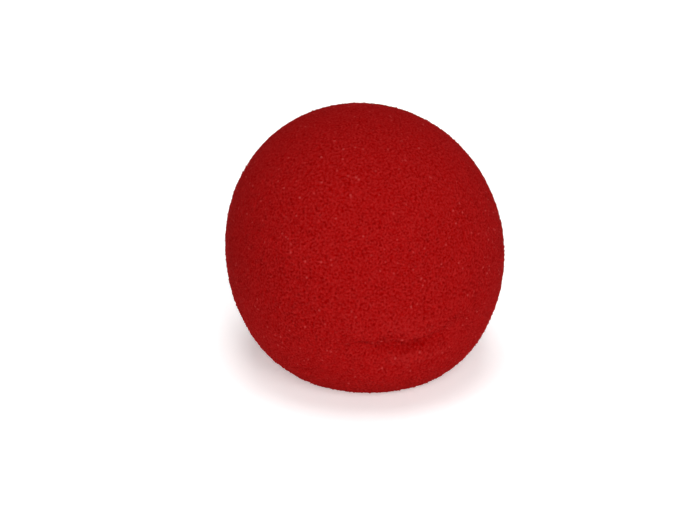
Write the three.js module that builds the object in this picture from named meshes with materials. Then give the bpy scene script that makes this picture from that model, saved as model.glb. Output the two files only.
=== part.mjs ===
// A clown nose of red sponge foam: one soft ball, a little out of round, with a pocket cut up into it for the
// wearer's nose. It stands on the rim round the mouth of the pocket, as it does when it is put down.
//
// Millimetres, +Z up. The origin lies under the middle of the ball, on the surface that the nose stands on.
// The front, where the foam is folded, faces -Y, and +X is to the right of someone who looks at the front.
import * as THREE from "three";
import { mergeVertices } from "three/addons/utils/BufferGeometryUtils.js";

// The ball across its three main ways, and how far its long way leans to the left, in degrees from upright
const acrossDiameter = 48.7;
const deepDiameter = 49.8;
const longDiameter = 51.6;
const lean = 18;

// The pocket, which narrows from its mouth to its end
const mouthDiameter = 22;
const endDiameter = 20;
const pocketDepth = 27;
const endRounding = 3;

// The flat rim that the nose stands on: its width where it is narrowest, how much of that is rounded over into the
// pocket, and over what height it eases into the ball's side
const rimWidth = 3;
const rimRounding = 0.6;
const rimBlend = 0.3;

// The foam spreads a little above the rim: by how much, and where and over what height, in degrees
const slumpSpread = 0.3;
const slumpElevation = -40;
const slumpHeight = 13;

// Broad dents and swellings. Azimuth is 0 at the front and grows to the right, and elevation is above level, both
// in degrees. The reach is a share of the ball's mean radius, and the rise a share of dentDepth.
const dentDepth = 0.3;
const dents = [
  { azimuth: -90, elevation: 2, reach: 0.42, rise: -0.7 },
  { azimuth: 92, elevation: 12, reach: 0.4, rise: -0.5 },
  { azimuth: -118, elevation: 46, reach: 0.36, rise: 0.6 },
  { azimuth: -43, elevation: 10, reach: 0.12, rise: -0.4 },
  { azimuth: 22, elevation: -1, reach: 0.2, rise: -0.6 },
  { azimuth: 12, elevation: -8, reach: 0.16, rise: 0.5 },
  { azimuth: 58, elevation: -22, reach: 0.2, rise: -0.5 },
  { azimuth: 150, elevation: 15, reach: 0.4, rise: -0.7 },
  { azimuth: -160, elevation: -20, reach: 0.3, rise: 0.6 },
];

// The fold, where the foam laps over a hollow: how deep the hollow is and how far down it reaches, the height of the
// step at its edge, and how far the lip above it and the ridge below it stand out. The ridge lies at and is as high
// as the stated shares of the hollow's reach.
const foldDepth = 0.7;
const foldReach = 4.8;
const foldEdge = 1.5;
const lipRise = 0.15;
const ridgeRise = 0.2;
const ridgePlace = 1.7;
const ridgeHeight = 0.45;
// A row gives a point of the fold's edge, in degrees, its depth as a share of all the above depths and rises, and
// its reach as a share of foldReach.
const fold = [
  { azimuth: -16, elevation: -15, depth: 0, reach: 0.6 },
  { azimuth: -5, elevation: -15.5, depth: 0.35, reach: 0.9 },
  { azimuth: 5, elevation: -17.5, depth: 0.9, reach: 1 },
  { azimuth: 12, elevation: -18, depth: 0.95, reach: 0.85 },
  { azimuth: 20, elevation: -15.7, depth: 1, reach: 0.5 },
  { azimuth: 27, elevation: -15.3, depth: 0.85, reach: 0.45 },
  { azimuth: 34, elevation: -14.6, depth: 0.55, reach: 0.45 },
  { azimuth: 43, elevation: -11, depth: 0.3, reach: 0.4 },
  { azimuth: 54, elevation: -6, depth: 0, reach: 0.4 },
];

// The facets. Columns run round the ball and crowd towards the fold, by up to so many degrees. Rows run up it from
// the rim, and a band of them ends at a share of the way from the rim's outer edge to the top: the skirt, the
// middle with the fold, and the crown.
const columns = 80;
const crowding = 28;
const crowdedAzimuth = 18;
const rimRows = 3;
const bands = [
  { end: 0.12, rows: 5 },
  { end: 0.51, rows: 25 },
  { end: 1, rows: 16 },
];
const roundingRows = 3;
const wallRows = 5;
const endRows = 2;

const fullTurn = 360;
const topElevation = fullTurn / 4;
const radians = THREE.MathUtils.degToRad;
const degrees = THREE.MathUtils.radToDeg;

// The half-widths of the ball along its own leaning axes, and the turn that stands those axes upright
const halfWidths = new THREE.Vector3(acrossDiameter, deepDiameter, longDiameter).divideScalar(2);
const meanRadius = Math.cbrt(halfWidths.x * halfWidths.y * halfWidths.z);
const uprightTurn = new THREE.Quaternion().setFromAxisAngle(new THREE.Vector3(0, 1, 0), radians(lean));

// The rim's outer edge where it is narrowest, and its inner edge, where it starts to round over into the pocket
const rimRadius = mouthDiameter / 2 + rimWidth;
const innerRimRadius = mouthDiameter / 2 + rimRounding;

// The ball's middle is as high as leaves a flat rim of the stated width on every side
const quarterTurns = [0, 1, 2, 3].map((quarter) => (quarter * fullTurn) / 4);
const middleHeight = Math.min(...quarterTurns.map((azimuth) => dropAt(azimuth, rimRadius)));
const middle = new THREE.Vector3(0, 0, middleHeight);

// A unit vector with the given azimuth and elevation.
function directionOf(azimuth, elevation) {
  return new THREE.Vector3(
    Math.cos(radians(elevation)) * Math.sin(radians(azimuth)),
    -Math.cos(radians(elevation)) * Math.cos(radians(azimuth)),
    Math.sin(radians(elevation)),
  );
}

// A point of the plain leaning ellipsoid's space, shrunk so that the ellipsoid becomes a ball of radius 1.
function inUnitBall(point) {
  return point.applyQuaternion(uprightTurn).divide(halfWidths);
}

// How far the plain leaning ellipsoid reaches in a direction.
function ellipsoidRadius(direction) {
  return 1 / inUnitBall(direction.clone()).length();
}

// How far below its middle the ellipsoid's skin lies, in an azimuth, at a distance from the upright axis.
function dropAt(azimuth, distance) {
  const outward = inUnitBall(directionOf(azimuth, 0).multiplyScalar(distance));
  const down = inUnitBall(new THREE.Vector3(0, 0, -1));
  const along = outward.dot(down);
  const squareRoot = Math.sqrt(along ** 2 - down.lengthSq() * (outward.lengthSq() - 1));
  return (squareRoot - along) / down.lengthSq();
}

// 1 at the middle of a bump and nearly 0 beyond its reach.
function bell(distance, reach) {
  return Math.exp(-((distance / reach) ** 2));
}

function slumpRise(elevation) {
  return slumpSpread * bell(elevation - slumpElevation, slumpHeight);
}

function dentRise(direction) {
  return dents.reduce((sum, { azimuth, elevation, reach, rise }) => {
    const away = direction.angleTo(directionOf(azimuth, elevation));
    return sum + dentDepth * rise * bell(away, reach);
  }, 0);
}

// The fold's values at any azimuth, on a smooth curve through its rows.
const foldValues = ["elevation", "depth", "reach"];
const foldCurve = new THREE.CubicInterpolant(
  fold.map((row) => row.azimuth),
  fold.flatMap((row) => foldValues.map((value) => row[value])),
  foldValues.length,
);

// The hollow under the fold's edge, the lip that laps over it and the ridge below.
function foldRise(azimuth, elevation) {
  const [edge, depth, reach] = foldCurve.evaluate(azimuth);
  const below = radians(edge - elevation) * meanRadius;
  const hollowReach = foldReach * reach;
  const step = THREE.MathUtils.smoothstep(below, -foldEdge / 2, foldEdge / 2);
  const hollow = step * bell(below, hollowReach);
  const lip = bell(below + foldEdge, foldEdge);
  const ridge = bell(below - ridgePlace * hollowReach, ridgeHeight * hollowReach);
  return depth * (lipRise * lip + ridgeRise * ridge - foldDepth * hollow);
}

// The smaller of two lengths, with the corner between them eased.
function easedMinimum(a, b, ease) {
  const overlap = Math.max(ease - Math.abs(a - b), 0) / ease;
  return Math.min(a, b) - (overlap ** 2 * ease) / 4;
}

// The point where the ball's soft side, flattened by what it stands on, lies in a direction from its middle.
function outerPoint(azimuth, elevation) {
  const direction = directionOf(azimuth, elevation);
  const soft = slumpRise(elevation) + dentRise(direction) + foldRise(azimuth, elevation);
  const free = ellipsoidRadius(direction) + soft;
  const floor = direction.z < 0 ? middleHeight / -direction.z : Infinity;
  const reach = floor === Infinity ? free : easedMinimum(free, floor, rimBlend);
  return direction.multiplyScalar(reach).add(middle);
}

// The azimuth of a column, from -180 up to 180.
function columnAzimuth(column) {
  const turn = (fullTurn * column) / columns;
  const crowded = turn - crowding * Math.sin(radians(turn - crowdedAzimuth));
  return THREE.MathUtils.euclideanModulo(crowded + fullTurn / 2, fullTurn) - fullTurn / 2;
}

// The elevations of the ball's rows, from the inner edge of the rim to the top.
function rowElevations() {
  const elevationAtRim = (radius) => -degrees(Math.atan2(middleHeight, radius));
  const rimEdge = elevationAtRim(rimRadius);
  const stretches = [
    { end: rimEdge, rows: rimRows },
    ...bands.map(({ end, rows }) => ({ end: THREE.MathUtils.lerp(rimEdge, topElevation, end), rows })),
  ];
  const elevations = [elevationAtRim(innerRimRadius)];
  for (const { end, rows } of stretches) {
    const start = elevations.at(-1);
    for (let row = 1; row <= rows; row++) elevations.push(THREE.MathUtils.lerp(start, end, row / rows));
  }
  return elevations;
}

// Half of the pocket's section, from the middle of its end down to where the rim's rounding meets the flat rim.
function pocketProfile() {
  const endFlatRadius = endDiameter / 2 - endRounding;
  const endMiddle = new THREE.Vector2(0, pocketDepth);
  const endEdge = new THREE.Vector2(endFlatRadius, pocketDepth);
  const wallTop = new THREE.Vector2(endDiameter / 2, pocketDepth - endRounding);
  const wallFoot = new THREE.Vector2(mouthDiameter / 2, rimRounding);
  const [upwards, outwards, inwards, downwards] = [Math.PI / 2, 0, Math.PI, 1.5 * Math.PI];
  const endCorner = [endFlatRadius, wallTop.y, endRounding, endRounding, upwards, outwards, true];
  const rimCorner = [innerRimRadius, rimRounding, rimRounding, rimRounding, inwards, downwards, false];
  const stretches = [
    { rows: endRows, curve: new THREE.LineCurve(endMiddle, endEdge) },
    { rows: roundingRows, curve: new THREE.EllipseCurve(...endCorner) },
    { rows: wallRows, curve: new THREE.LineCurve(wallTop, wallFoot) },
    { rows: roundingRows, curve: new THREE.EllipseCurve(...rimCorner) },
  ];
  return stretches.flatMap(({ rows, curve }) => curve.getPoints(rows).slice(0, -1));
}

// The whole skin is turned as one closed profile, with a round ball outside. Then each column goes to its azimuth,
// and the ball's points to where its soft side lies.
function sponge() {
  const pocket = pocketProfile();
  const elevations = rowElevations();
  const roundBall = elevations.map((elevation) => {
    const reach = new THREE.Vector2(meanRadius, 0).rotateAround(new THREE.Vector2(), radians(elevation));
    return reach.setY(reach.y + middleHeight);
  });
  const profile = [...pocket, ...roundBall];
  const geometry = new THREE.LatheGeometry(profile, columns);
  const position = geometry.getAttribute("position");
  for (let index = 0; index < position.count; index++) {
    const row = index % profile.length;
    const azimuth = columnAzimuth(Math.floor(index / profile.length));
    const point =
      row < pocket.length
        ? directionOf(azimuth, 0).multiplyScalar(pocket[row].x).setZ(pocket[row].y)
        : outerPoint(azimuth, elevations[row - pocket.length]);
    position.setXYZ(index, point.x, point.y, point.z);
  }
  geometry.deleteAttribute("normal");
  geometry.deleteAttribute("uv");
  const closed = mergeVertices(geometry);
  closed.computeVertexNormals();
  return closed;
}

const redFoam = new THREE.MeshStandardMaterial({ color: 0xa21211, roughness: 0.95, metalness: 0 });
redFoam.name = "red_foam";

const nose = new THREE.Group();
nose.name = "clown_nose";
const foamBall = new THREE.Mesh(sponge(), redFoam);
foamBall.name = "foam_ball";
nose.add(foamBall);

export default nose;
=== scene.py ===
"""A clown nose of red sponge foam, standing on the rim of its pocket on a plain white floor.

Metres, +Z up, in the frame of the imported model. Azimuth 0 is the front, where the foam is folded, and
grows to the right. Elevation is above level, seen from the ball's middle. Both are in degrees.
"""

import math

import bmesh
import bpy
import numpy as np
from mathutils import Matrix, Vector, noise
from mathutils.bvhtree import BVHTree


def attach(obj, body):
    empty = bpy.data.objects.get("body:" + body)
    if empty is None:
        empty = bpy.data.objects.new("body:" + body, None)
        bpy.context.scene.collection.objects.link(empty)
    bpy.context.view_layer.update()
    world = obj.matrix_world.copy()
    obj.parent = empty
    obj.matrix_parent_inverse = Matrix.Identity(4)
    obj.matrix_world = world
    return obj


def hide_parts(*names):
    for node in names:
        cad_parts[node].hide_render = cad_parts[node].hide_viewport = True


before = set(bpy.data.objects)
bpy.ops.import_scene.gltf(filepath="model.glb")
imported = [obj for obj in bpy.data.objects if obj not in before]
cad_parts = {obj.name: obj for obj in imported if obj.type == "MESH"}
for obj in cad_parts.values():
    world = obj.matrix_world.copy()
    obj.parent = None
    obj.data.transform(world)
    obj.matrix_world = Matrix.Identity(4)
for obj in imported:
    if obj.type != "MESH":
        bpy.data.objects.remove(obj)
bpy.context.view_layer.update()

NODE = "foam_ball"

# The ball's mean radius, and the height of its middle
RADIUS = 0.0250
MIDDLE_HEIGHT = 0.0206

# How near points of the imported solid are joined, and how often its facets are split to round them
MERGE_DISTANCE = 1e-6
CAD_SUBDIVISION = 2

# The pocket, which narrows from its mouth to its end, and the points of its section at each rounding
# and across its end
MOUTH_RADIUS = 0.0110
END_RADIUS = 0.0100
POCKET_DEPTH = 0.0270
END_ROUNDING = 0.0030
RIM_ROUNDING = 0.0006
CORNER_POINTS = 9
END_POINTS = 11

# The skin's mesh: how many parts each edge of an icosahedron is split into, the share of the outside's
# triangles that an equal area of the pocket gets, and how many rounds of smoothing it has
MESH_FREQUENCY = 99
POCKET_FINENESS = 0.5
FACET_SMOOTHING = 12
# Its rows crowd towards the fold: by this share at the fold's edge, from so many degrees above and
# below it, and up to so many degrees past its ends
FOLD_CROWDING = 0.55
CROWDING_REACH = 9.0
CROWDING_END = 10.0

# The fold: a lip that hangs over a hollow, and a ridge along the hollow's far side. Its way is azimuth,
# elevation of the lip's edge, and shares of the hollow's depth, of its height and of the ridge's rise
FOLD_WAY = [
    (-9, -13.2, 0.00, 0.5, 0.0),
    (-3, -13.7, 0.12, 0.7, 0.2),
    (1, -13.9, 0.22, 0.9, 0.2),
    (4, -14.0, 0.22, 1.2, 0.3),
    (8, -13.5, 0.32, 1.3, 0.5),
    (12, -13.6, 0.32, 1.3, 1.1),
    (15.5, -13.3, 0.85, 1.3, 1.3),
    (20, -13.0, 0.75, 1.3, 1.3),
    (25, -13.3, 0.36, 1.4, 1.1),
    (31, -12.4, 0.24, 1.5, 0.6),
    (37, -10.6, 0.10, 1.4, 0.3),
    (45, -8.0, 0.00, 1.0, 0.0),
]
# The lip: over what height its edge turns under, how far it stands out, how far above its edge and how
# widely, how far it hangs over the hollow, and the share of the hollow's depth from which it is full
LIP_EDGE = 0.00030
LIP_RISE = 0.00016
LIP_PLACE = 0.0020
LIP_SPREAD = 0.0015
LIP_OVERLAP = 0.00045
LIP_FULL_AT = 0.5
# The hollow: its depth, the height of its back, and the height of the slope that leads out of it
HOLLOW_DEPTH = 0.0013
HOLLOW_HEIGHT = 0.0013
HOLLOW_SLOPE = 0.0011
# The ridge: how far it stands out, how far below that slope, and how widely
RIDGE_RISE = 0.00040
RIDGE_PLACE = 0.0017
RIDGE_SPREAD = 0.0009
# How far the fold wanders, how unevenly deep it is, the size of such lumps, and where the unevenness is
# read from the noise, so that it doesn't go with the wandering
FOLD_WANDER = 0.00055
FOLD_UNEVENNESS = 0.55
FOLD_LUMP = 0.0010
UNEVEN_SHIFT = Vector((7, 7, 7))
# Painted shade: how much darker the foam's colour is made in the hollow under the lip, and painted
# highlight: how much paler for each metre that it stands out, on the scale of the cells' relief, which
# goes from -1 to 1
HOLLOW_PAINTED_SHADE = 0.36
RAISED_PAINTED_HIGHLIGHT = 1000
# The fold and what is round it keep this far from the pocket's mouth
RIM_CLEARANCE = 0.002
# Puffs above the fold, pits in and near it, and torn crumbs that stand out at the sides: azimuth,
# elevation, how far each stands out, and its width
BUMPS = [
    (-3.2, -8.0, 0.00026, 0.0013),
    (8.0, -4.9, 0.00028, 0.0013),
    (13.2, -7.0, 0.00026, 0.0011),
    (17.4, -7.0, 0.00028, 0.0011),
    (22.3, -11.0, 0.00034, 0.0012),
    (0.2, -15.0, -0.0009, 0.00070),
    (6.8, -12.6, -0.0006, 0.00075),
    (5.2, -17.6, -0.0010, 0.00065),
    (17.2, -19.6, -0.0007, 0.00065),
    (15.0, -10.7, -0.0005, 0.00040),
    (-7.5, -16.2, -0.0006, 0.00040),
    (35.5, -20.0, -0.0005, 0.00040),
    (74.5, -3.8, 0.00045, 0.00050),
    (-61, 31, 0.00022, 0.00040),
    (83, -14, 0.00020, 0.00050),
]

# The foam's skin: how far it stands up and sinks in at each scale, the shares of its points that are
# pores and torn walls, and how strongly torn they are, which also sets how strong a painted glint they
# get
CELL_HEIGHT = 0.000090
LUMP_SIZE = 0.0008
LUMP_HEIGHT = 0.00004
SWELL_SIZE = 0.0055
SWELL_HEIGHT = 0.00006
PORE_SHARE = 0.010
PORE_DEPTH = 0.00025
FLECK_SHARE = 0.008
FLECK_HEIGHT = 0.00009
FLECK_STRENGTH = (0.2, 1.0)
POCKET_ROUGHNESS = 0.00016
SEED = 7
# How much a point's height counts in the relief that colours it, and how much darker a pore is
CELL_RELIEF = 0.5
PORE_RELIEF = 1.5

# The foam's pattern: the size of its finest cells and of its mottle, and how far each part of the
# pattern moves the colour from the bottoms of the cells to their walls. The walls' part goes from its
# first value on a wall to its second in a cell's middle
GRAIN_SIZE = 0.00023
MOTTLE_SIZE = 0.0022
RELIEF_CONTRAST = 0.55
WALL_CONTRAST = (0.65, 0.35)
WALL_REACH = 0.35
CELL_CONTRAST = 0.30
MOTTLE_CONTRAST = 0.04
MOTTLE_RANGE = (0.3, 0.7)
BUMP_STRENGTH = 0.6
BUMP_HEIGHT = 0.0001
FOAM_ROUGHNESS = 0.9
FOAM_SPECULAR = 0.015
# The foam's colours, from the bottoms of its cells to their walls, and a painted glint where a torn
# wall catches the light
PIT_RED = (0.228, 0, 0, 1)
SLOPE_RED = (0.328, 0.0050, 0.0048, 1)
WALL_RED = (0.328, 0.0100, 0.0096, 1)
PAINTED_GLINT_RED = (0.42, 0.038, 0.036, 1)

# The white floor, which curves up into a wall all round. The floor is faintly lit from below, as a
# light table is, and the wall from behind
FLOOR_WHITE = (0.93, 0.93, 0.93, 1)
PAPER_ROUGHNESS = 0.9
PAPER_SPECULAR = 0.1
# The floor's glow, how far out it reaches, and how sharply it ends
FLOOR_GLOW = 0.37
GLOW_RADIUS = 0.5
GLOW_SHARPNESS = 4
WALL_GLOW = 0.32
# How far out the wall's glow starts and is full, and the heights at which it starts to fade and is gone
WALL_GLOW_REACH = (0.6, 1.2)
WALL_GLOW_HEIGHTS = (0.2, 0.6)
# The flat floor, the rounding at the wall's foot, and the wall's top, and how many parts go round and
# outwards
FLOOR_RADIUS = 1.3
COVE_ROUNDING = 0.5
COVE_HEIGHT = 1.2
COVE_PARTS = 96
FLOOR_RINGS = 8
COVE_RINGS = 12

# The sky's strength, how far off the lights are, and their name, azimuth, elevation, width, height and
# power
SKY = 0.06
LIGHT_DISTANCE = 1.1
LIGHTS = [
    ("front", 12, 30, 0.5, 0.85, 7.8),
    ("overhead", 0, 88, 0.6, 0.6, 6.5),
    ("back_right", 140, 25, 0.6, 0.6, 0.3),
    ("back_left", -140, 25, 0.6, 0.6, 0.3),
]

MIDDLE = np.array([0, 0, MIDDLE_HEIGHT])

# The photograph's camera
CAMERA_ELEVATION = 25.0
CAMERA_DISTANCE = 0.45
SENSOR_WIDTH = 36.0
IMAGE_SIZE = (700, 520)
PIXELS_PER_METRE = 5722.0
BALL_AT_PIXEL = (364.5, 249.3)


def new_object(name, mesh):
    piece = bpy.data.objects.new(name, mesh)
    bpy.context.scene.collection.objects.link(piece)
    return piece


def directions_of(azimuth, elevation):
    """Unit vectors with the given azimuths and elevations."""
    azimuth, elevation = np.radians(azimuth), np.radians(elevation)
    return np.stack(
        [np.cos(elevation) * np.sin(azimuth), -np.cos(elevation) * np.cos(azimuth), np.sin(elevation)],
        axis=-1,
    )


def smooth_cad_surface():
    """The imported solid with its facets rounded, as a tree to cast rays at."""
    mesh = bmesh.new()
    mesh.from_mesh(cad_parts[NODE].data)
    bmesh.ops.remove_doubles(mesh, verts=mesh.verts, dist=MERGE_DISTANCE)
    data = bpy.data.meshes.new("rounded")
    mesh.to_mesh(data)
    mesh.free()
    rounded = new_object("rounded", data)
    rounded.modifiers.new("rounding", "SUBSURF").levels = CAD_SUBDIVISION
    tree = BVHTree.FromObject(rounded, bpy.context.evaluated_depsgraph_get())
    bpy.data.objects.remove(rounded)
    return tree


def pocket_profile():
    """Radius, height and running area of the pocket's section, from its mouth to the end's middle."""
    corner = np.linspace(0, math.pi / 2, CORNER_POINTS)
    rim_r = MOUTH_RADIUS + RIM_ROUNDING * (1 - np.sin(corner))
    rim_z = RIM_ROUNDING * (1 - np.cos(corner))
    end_r = END_RADIUS - END_ROUNDING * (1 - np.cos(corner))
    end_z = POCKET_DEPTH - END_ROUNDING * (1 - np.sin(corner))
    across = np.linspace(END_RADIUS - END_ROUNDING, 0, END_POINTS + 1)[1:]
    radius = np.concatenate([rim_r, end_r, across])
    height = np.concatenate([rim_z, end_z, np.full(END_POINTS, POCKET_DEPTH)])
    steps = np.hypot(np.diff(radius), np.diff(height)) * (radius[1:] + radius[:-1]) * math.pi
    return radius, height, np.concatenate([[0], np.cumsum(steps)])


def eased(share):
    """0 up to 0, 1 from 1 on, and smooth between."""
    share = np.clip(share, 0, 1)
    return share * share * (3 - 2 * share)


def hump(away, spread):
    """1 where nothing is away, and less and less beyond the spread."""
    return np.exp(-((away / spread) ** 2))


def noise_at(points, size, shift=Vector()):
    """Smooth noise with lumps of the given size, from about -1 to 1."""
    return np.array([noise.noise(Vector(point) / size + shift) for point in points])


def crowded(azimuth, elevation):
    """Elevations moved towards the fold's edge, so that the mesh is finer there."""
    edge = np.interp(azimuth, [row[0] for row in FOLD_WAY], [row[1] for row in FOLD_WAY])
    from_first = (azimuth - FOLD_WAY[0][0] + CROWDING_END) / (2 * CROWDING_END)
    from_last = (FOLD_WAY[-1][0] + CROWDING_END - azimuth) / (2 * CROWDING_END)
    inside = np.clip(from_first, 0, 1) * np.clip(from_last, 0, 1)
    away = elevation - edge
    return edge + away * (1 - FOLD_CROWDING * inside * hump(away, CROWDING_REACH))


def skin_mesh():
    """One closed skin of even triangles: a geodesic sphere with its foot pushed up as the pocket."""
    grid = bmesh.new()
    bmesh.ops.create_icosphere(grid, subdivisions=1, radius=1)
    bmesh.ops.subdivide_edges(grid, edges=grid.edges, cuts=MESH_FREQUENCY - 1, use_grid_fill=True)
    data = bpy.data.meshes.new("sponge_ball")
    grid.to_mesh(data)
    grid.free()
    points = np.empty(len(data.vertices) * 3)
    data.vertices.foreach_get("co", points)
    points = points.reshape(-1, 3)
    points /= np.linalg.norm(points, axis=1, keepdims=True)

    radius, height, area = pocket_profile()
    inner_rim = math.atan2(MIDDLE_HEIGHT, MOUTH_RADIUS + RIM_ROUNDING)
    outside = (1 + math.sin(inner_rim)) / 2
    whole = outside + area[-1] / (4 * math.pi * RADIUS**2) * POCKET_FINENESS
    share = whole * (1 - points[:, 2]) / 2
    azimuth = np.degrees(np.arctan2(points[:, 0], -points[:, 1]))

    in_pocket = share > outside
    elevation = np.degrees(np.arcsin(np.clip(1 - 2 * share, -1, 1)))
    placed = np.empty_like(points)
    so_far = (share - outside) / (whole - outside) * area[-1]
    level = directions_of(azimuth, 0 * azimuth)
    placed[in_pocket] = (level * np.interp(so_far, area, radius)[:, None])[in_pocket]
    placed[in_pocket, 2] = np.interp(so_far, area, height)[in_pocket]

    rays = directions_of(azimuth, crowded(azimuth, elevation))
    tree = smooth_cad_surface()
    for index in np.nonzero(~in_pocket)[0]:
        outward = Vector(rays[index])
        placed[index] = tree.ray_cast(Vector(MIDDLE) + 2 * RADIUS * outward, -outward)[0]
    return data, placed, in_pocket


def edges_of(data):
    ends = np.empty(len(data.edges) * 2, dtype=np.int64)
    data.edges.foreach_get("vertices", ends)
    return ends.reshape(-1, 2)


def around(values, ends):
    """The mean of each point's neighbours."""
    total = np.zeros_like(values)
    np.add.at(total, ends[:, 0], values[ends[:, 1]])
    np.add.at(total, ends[:, 1], values[ends[:, 0]])
    count = np.bincount(ends.ravel(), minlength=len(values))
    return (total.T / count).T


def smoothed(points, ends, rounds):
    """Each point moved to halfway between itself and the middle of its neighbours, so many times."""
    for _ in range(rounds):
        points = (points + around(points, ends)) / 2
    return points


def normals_of(data, points):
    data.vertices.foreach_set("co", points.ravel())
    data.update()
    normals = np.empty(len(points) * 3)
    data.vertices.foreach_get("normal", normals)
    return normals.reshape(-1, 3)


def seen_from_middle(points):
    """Azimuth and elevation of each point, in degrees."""
    level = np.hypot(points[:, 0], points[:, 1])
    azimuth = np.degrees(np.arctan2(points[:, 0], -points[:, 1]))
    return azimuth, np.degrees(np.arctan2(points[:, 2] - MIDDLE_HEIGHT, level))


def folded(points, normals):
    """The skin with its fold, puffs, pits and crumbs, and the painted shade in the hollow and painted
    highlight where it stands out, for its colour.
    """
    azimuth, elevation = seen_from_middle(points)
    way = np.array(FOLD_WAY)
    edge, deep, tall, ridged = [np.interp(azimuth, way[:, 0], way[:, column]) for column in (1, 2, 3, 4)]
    wander = noise_at(points, FOLD_LUMP)
    uneven = 1 + FOLD_UNEVENNESS * noise_at(points, FOLD_LUMP, UNEVEN_SHIFT)
    above = np.radians(elevation - edge) * RADIUS + FOLD_WANDER * wander
    below_back = -above - HOLLOW_HEIGHT * tall
    crest = -HOLLOW_HEIGHT * tall - HOLLOW_SLOPE - RIDGE_PLACE

    under = eased(0.5 - above / LIP_EDGE)
    present = eased(deep / LIP_FULL_AT)
    height = -HOLLOW_DEPTH * deep * uneven * under * (1 - eased(below_back / HOLLOW_SLOPE))
    height += LIP_RISE * present * uneven * hump(above - LIP_PLACE, LIP_SPREAD)
    height += RIDGE_RISE * ridged * (1 + FOLD_UNEVENNESS * wander) * hump(above - crest, RIDGE_SPREAD)
    for at_azimuth, at_elevation, rise, width in BUMPS:
        away = points - MIDDLE - directions_of(at_azimuth, at_elevation) * RADIUS
        height += rise * np.exp(-(np.sum(away**2, axis=1) / width**2))

    # Painted shade in the hollow under the lip, and a painted highlight wherever the skin stands out
    hollow_shade_mask = under * (1 - eased(below_back / (2 * HOLLOW_SLOPE)))
    shade = RAISED_PAINTED_HIGHLIGHT * np.maximum(height, 0) - HOLLOW_PAINTED_SHADE * present * hollow_shade_mask
    down = np.array([0, 0, -1]) - normals * -normals[:, 2:3]
    hang = LIP_OVERLAP * deep * hump(above, LIP_SPREAD) * (1 - under)
    outside = np.hypot(points[:, 0], points[:, 1]) > MOUTH_RADIUS + RIM_CLEARANCE
    moved = hang[:, None] * down + height[:, None] * normals
    return points + moved * outside[:, None], shade * outside


def foam_skin(points, normals, ends, in_pocket):
    """The skin with its lumps, cells, pores and torn walls, and at each point how high it is and how
    strongly torn, which sets its painted glint.
    """
    chance = np.random.default_rng(SEED)
    chances = chance.normal(size=len(points))
    cells = chances - around(chances, ends)
    cells /= cells.std()
    pores = chance.random(len(points)) < PORE_SHARE
    flecks = (chance.random(len(points)) < FLECK_SHARE) * chance.uniform(*FLECK_STRENGTH, len(points))
    heights = CELL_HEIGHT * cells - PORE_DEPTH * pores + FLECK_HEIGHT * flecks
    heights += LUMP_HEIGHT * noise_at(points, LUMP_SIZE) + SWELL_HEIGHT * noise_at(points, SWELL_SIZE)
    heights[in_pocket] += POCKET_ROUGHNESS * chances[in_pocket]
    skin = points + heights[:, None] * normals
    skin[:, 2] = np.maximum(skin[:, 2], 0)
    return skin, np.clip(CELL_RELIEF * cells - PORE_RELIEF * pores, -1, 1), flecks


def node_maker(tree):
    """A function that adds a shader node, sets its sockets, and links what is given from other nodes."""

    def make(kind, inputs=None, **settings):
        made = tree.nodes.new(kind)
        for name, value in settings.items():
            setattr(made, name, value)
        for name, value in (inputs or {}).items():
            if isinstance(value, bpy.types.NodeSocket):
                tree.links.new(value, made.inputs[name])
            else:
                made.inputs[name].default_value = value
        return made

    return make


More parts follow.
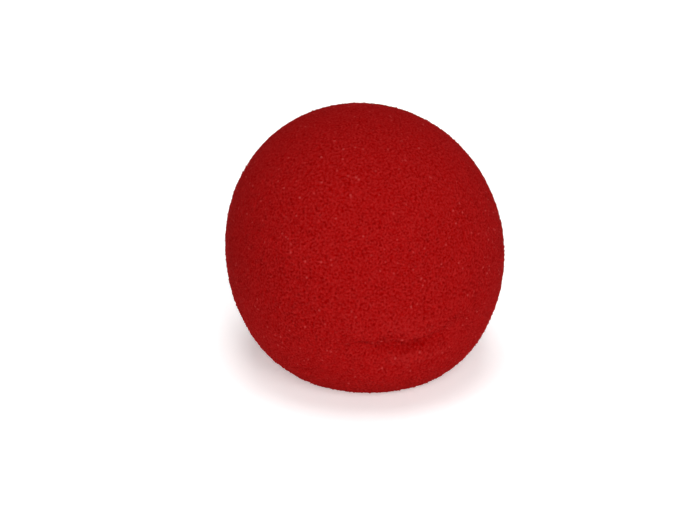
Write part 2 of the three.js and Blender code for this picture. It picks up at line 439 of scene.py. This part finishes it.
def foam_material():
    """Red sponge foam: cells with dark bottoms, paler walls with a painted glint where torn, painted
    shade and highlight about the fold, and a faint mottle.
    """
    material = bpy.data.materials.new("red_sponge_foam")
    material.use_nodes = True
    tree = material.node_tree
    tree.nodes.clear()
    make = node_maker(tree)

    def ramp(value, low, high, from_low=0.0, from_high=1.0):
        return make(
            "ShaderNodeMapRange",
            {"Value": value, "From Min": from_low, "From Max": from_high, "To Min": low, "To Max": high},
        ).outputs["Result"]

    def plus(a, b):
        return make("ShaderNodeMath", {0: a, 1: b}, operation="ADD").outputs["Value"]

    def mixed(factor, a, b):
        made = make("ShaderNodeMix", {"Factor": factor}, data_type="RGBA")
        for name, value in (("A", a), ("B", b)):
            socket = next(s for s in made.inputs if s.name == name and s.type == "RGBA")
            if isinstance(value, bpy.types.NodeSocket):
                tree.links.new(value, socket)
            else:
                socket.default_value = value
        return next(s for s in made.outputs if s.type == "RGBA")

    place = make("ShaderNodeTexCoord").outputs["Object"]
    # The relief attribute carries the cells' tones with the fold's painted shade and painted highlight
    relief = make("ShaderNodeAttribute", attribute_name="relief").outputs["Fac"]
    torn_glint = make("ShaderNodeAttribute", attribute_name="torn_glint").outputs["Fac"]
    fine = {"Vector": place, "Scale": 1 / GRAIN_SIZE}
    cells = make("ShaderNodeTexVoronoi", fine, feature="F1")
    walls = make("ShaderNodeTexVoronoi", fine, feature="DISTANCE_TO_EDGE")
    mottle = make("ShaderNodeTexNoise", {"Vector": place, "Scale": 1 / MOTTLE_SIZE, "Detail": 2.0})
    shade = make("ShaderNodeSeparateColor", {"Color": cells.outputs["Color"]}).outputs["Red"]

    height = plus(
        ramp(relief, -RELIEF_CONTRAST, RELIEF_CONTRAST, -1.0, 1.0),
        ramp(walls.outputs["Distance"], *WALL_CONTRAST, 0.0, WALL_REACH),
    )
    height = plus(height, ramp(shade, -CELL_CONTRAST, CELL_CONTRAST))
    height = plus(height, ramp(mottle.outputs["Fac"], -MOTTLE_CONTRAST, MOTTLE_CONTRAST, *MOTTLE_RANGE))
    colour = mixed(height, PIT_RED, mixed(height, SLOPE_RED, WALL_RED))
    # Painted glint where a torn wall catches the light
    colour = mixed(torn_glint, colour, PAINTED_GLINT_RED)
    bump = make(
        "ShaderNodeBump",
        {"Height": walls.outputs["Distance"], "Strength": BUMP_STRENGTH, "Distance": BUMP_HEIGHT},
        invert=True,
    )
    shader = make(
        "ShaderNodeBsdfPrincipled",
        {
            "Base Color": colour,
            "Roughness": FOAM_ROUGHNESS,
            "Specular IOR Level": FOAM_SPECULAR,
            "Normal": bump.outputs["Normal"],
        },
    )
    make("ShaderNodeOutputMaterial", {"Surface": shader.outputs["BSDF"]})
    return material


def sponge_ball():
    data, points, in_pocket = skin_mesh()
    ends = edges_of(data)
    points = smoothed(points, ends, FACET_SMOOTHING)
    points, shade = folded(points, normals_of(data, points))
    points, relief, torn_glint = foam_skin(points, normals_of(data, points), ends, in_pocket)
    normals_of(data, points)
    # The relief attribute gets the fold's painted shade and painted highlight on top of the cells' tones
    for name, values in (("relief", relief + shade), ("torn_glint", torn_glint)):
        data.attributes.new(name, "FLOAT", "POINT").data.foreach_set("value", values.astype(np.float32))
    data.shade_smooth()
    piece = new_object("sponge_ball", data)
    data.materials.append(foam_material())
    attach(piece, "root")
    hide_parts(NODE)


def camera():
    """The photograph's camera, moved sideways so that the ball's middle falls on its pixel."""
    data = bpy.data.cameras.new("camera")
    data.sensor_width = SENSOR_WIDTH
    data.lens = PIXELS_PER_METRE * SENSOR_WIDTH * CAMERA_DISTANCE / IMAGE_SIZE[0]
    piece = new_object("camera", data)
    tilt = math.radians(CAMERA_ELEVATION)
    back = Vector((0, -math.cos(tilt), math.sin(tilt)))
    up = Vector((0, math.sin(tilt), math.cos(tilt)))
    right = (BALL_AT_PIXEL[0] - IMAGE_SIZE[0] / 2) / PIXELS_PER_METRE
    raised = (IMAGE_SIZE[1] / 2 - BALL_AT_PIXEL[1]) / PIXELS_PER_METRE
    aim = Vector((-right, 0, MIDDLE_HEIGHT)) - up * raised
    piece.location = aim + back * CAMERA_DISTANCE
    piece.rotation_euler = (math.pi / 2 - tilt, 0, 0)
    bpy.context.scene.camera = piece


def floor():
    """The cove: rings of points from the middle outwards and up, joined by smooth faces."""
    turn = np.linspace(0, 2 * math.pi, COVE_PARTS, endpoint=False)
    corner = np.linspace(0, math.pi / 2, COVE_RINGS + 1)[1:]
    flat = np.linspace(0, FLOOR_RADIUS, FLOOR_RINGS + 1)[1:]
    radius = np.concatenate([flat, FLOOR_RADIUS + COVE_ROUNDING * np.sin(corner)])
    height = np.concatenate([0 * flat, COVE_ROUNDING * (1 - np.cos(corner))])
    radius, height = np.append(radius, radius[-1]), np.append(height, COVE_HEIGHT)
    points = [(0, 0, 0)]
    for ring_radius, ring_height in zip(radius, height):
        points += [(ring_radius * math.cos(a), ring_radius * math.sin(a), ring_height) for a in turn]
    beside = [(i, (i + 1) % COVE_PARTS) for i in range(COVE_PARTS)]
    faces = [(0, 1 + i, 1 + j) for i, j in beside]
    for ring in range(len(radius) - 1):
        inner = 1 + ring * COVE_PARTS
        outer = inner + COVE_PARTS
        faces += [(inner + i, outer + i, outer + j, inner + j) for i, j in beside]
    data = bpy.data.meshes.new("cove")
    data.from_pydata(points, [], faces)
    data.shade_smooth()
    across, along, up = np.array(points).T
    away = np.hypot(across, along)
    near, far = WALL_GLOW_REACH
    low, high = WALL_GLOW_HEIGHTS
    glow = FLOOR_GLOW * np.exp(-((away / GLOW_RADIUS) ** GLOW_SHARPNESS))
    glow += WALL_GLOW * eased((away - near) / (far - near)) * (1 - eased((up - low) / (high - low)))
    data.attributes.new("glow", "FLOAT", "POINT").data.foreach_set("value", glow.astype(np.float32))
    piece = new_object("cove", data)
    material = bpy.data.materials.new("white_paper")
    material.use_nodes = True
    tree = material.node_tree
    shader = tree.nodes["Principled BSDF"]
    shader.inputs["Base Color"].default_value = FLOOR_WHITE
    shader.inputs["Emission Color"].default_value = FLOOR_WHITE
    glowing = node_maker(tree)("ShaderNodeAttribute", attribute_name="glow")
    tree.links.new(glowing.outputs["Fac"], shader.inputs["Emission Strength"])
    shader.inputs["Roughness"].default_value = PAPER_ROUGHNESS
    shader.inputs["Specular IOR Level"].default_value = PAPER_SPECULAR
    data.materials.append(material)


def area_light(name, azimuth, elevation, width, height, power):
    """A soft light that faces the ball from LIGHT_DISTANCE away."""
    data = bpy.data.lights.new(name, "AREA")
    data.shape = "RECTANGLE"
    data.size, data.size_y = width, height
    data.energy = power
    piece = new_object(name, data)
    outward = Vector(directions_of(azimuth, elevation))
    piece.location = Vector(MIDDLE) + outward * LIGHT_DISTANCE
    piece.rotation_euler = outward.to_track_quat("Z", "Y").to_euler()
    piece.visible_camera = False


def studio():
    """A dim sky over the cove, and the lights."""
    world = bpy.data.worlds.new("studio")
    world.use_nodes = True
    background = world.node_tree.nodes["Background"]
    background.inputs["Color"].default_value = (1, 1, 1, 1)
    background.inputs["Strength"].default_value = SKY
    bpy.context.scene.world = world
    bpy.context.scene.view_settings.view_transform = "Standard"
    for light in LIGHTS:
        area_light(*light)


camera()
floor()
studio()
sponge_ball()
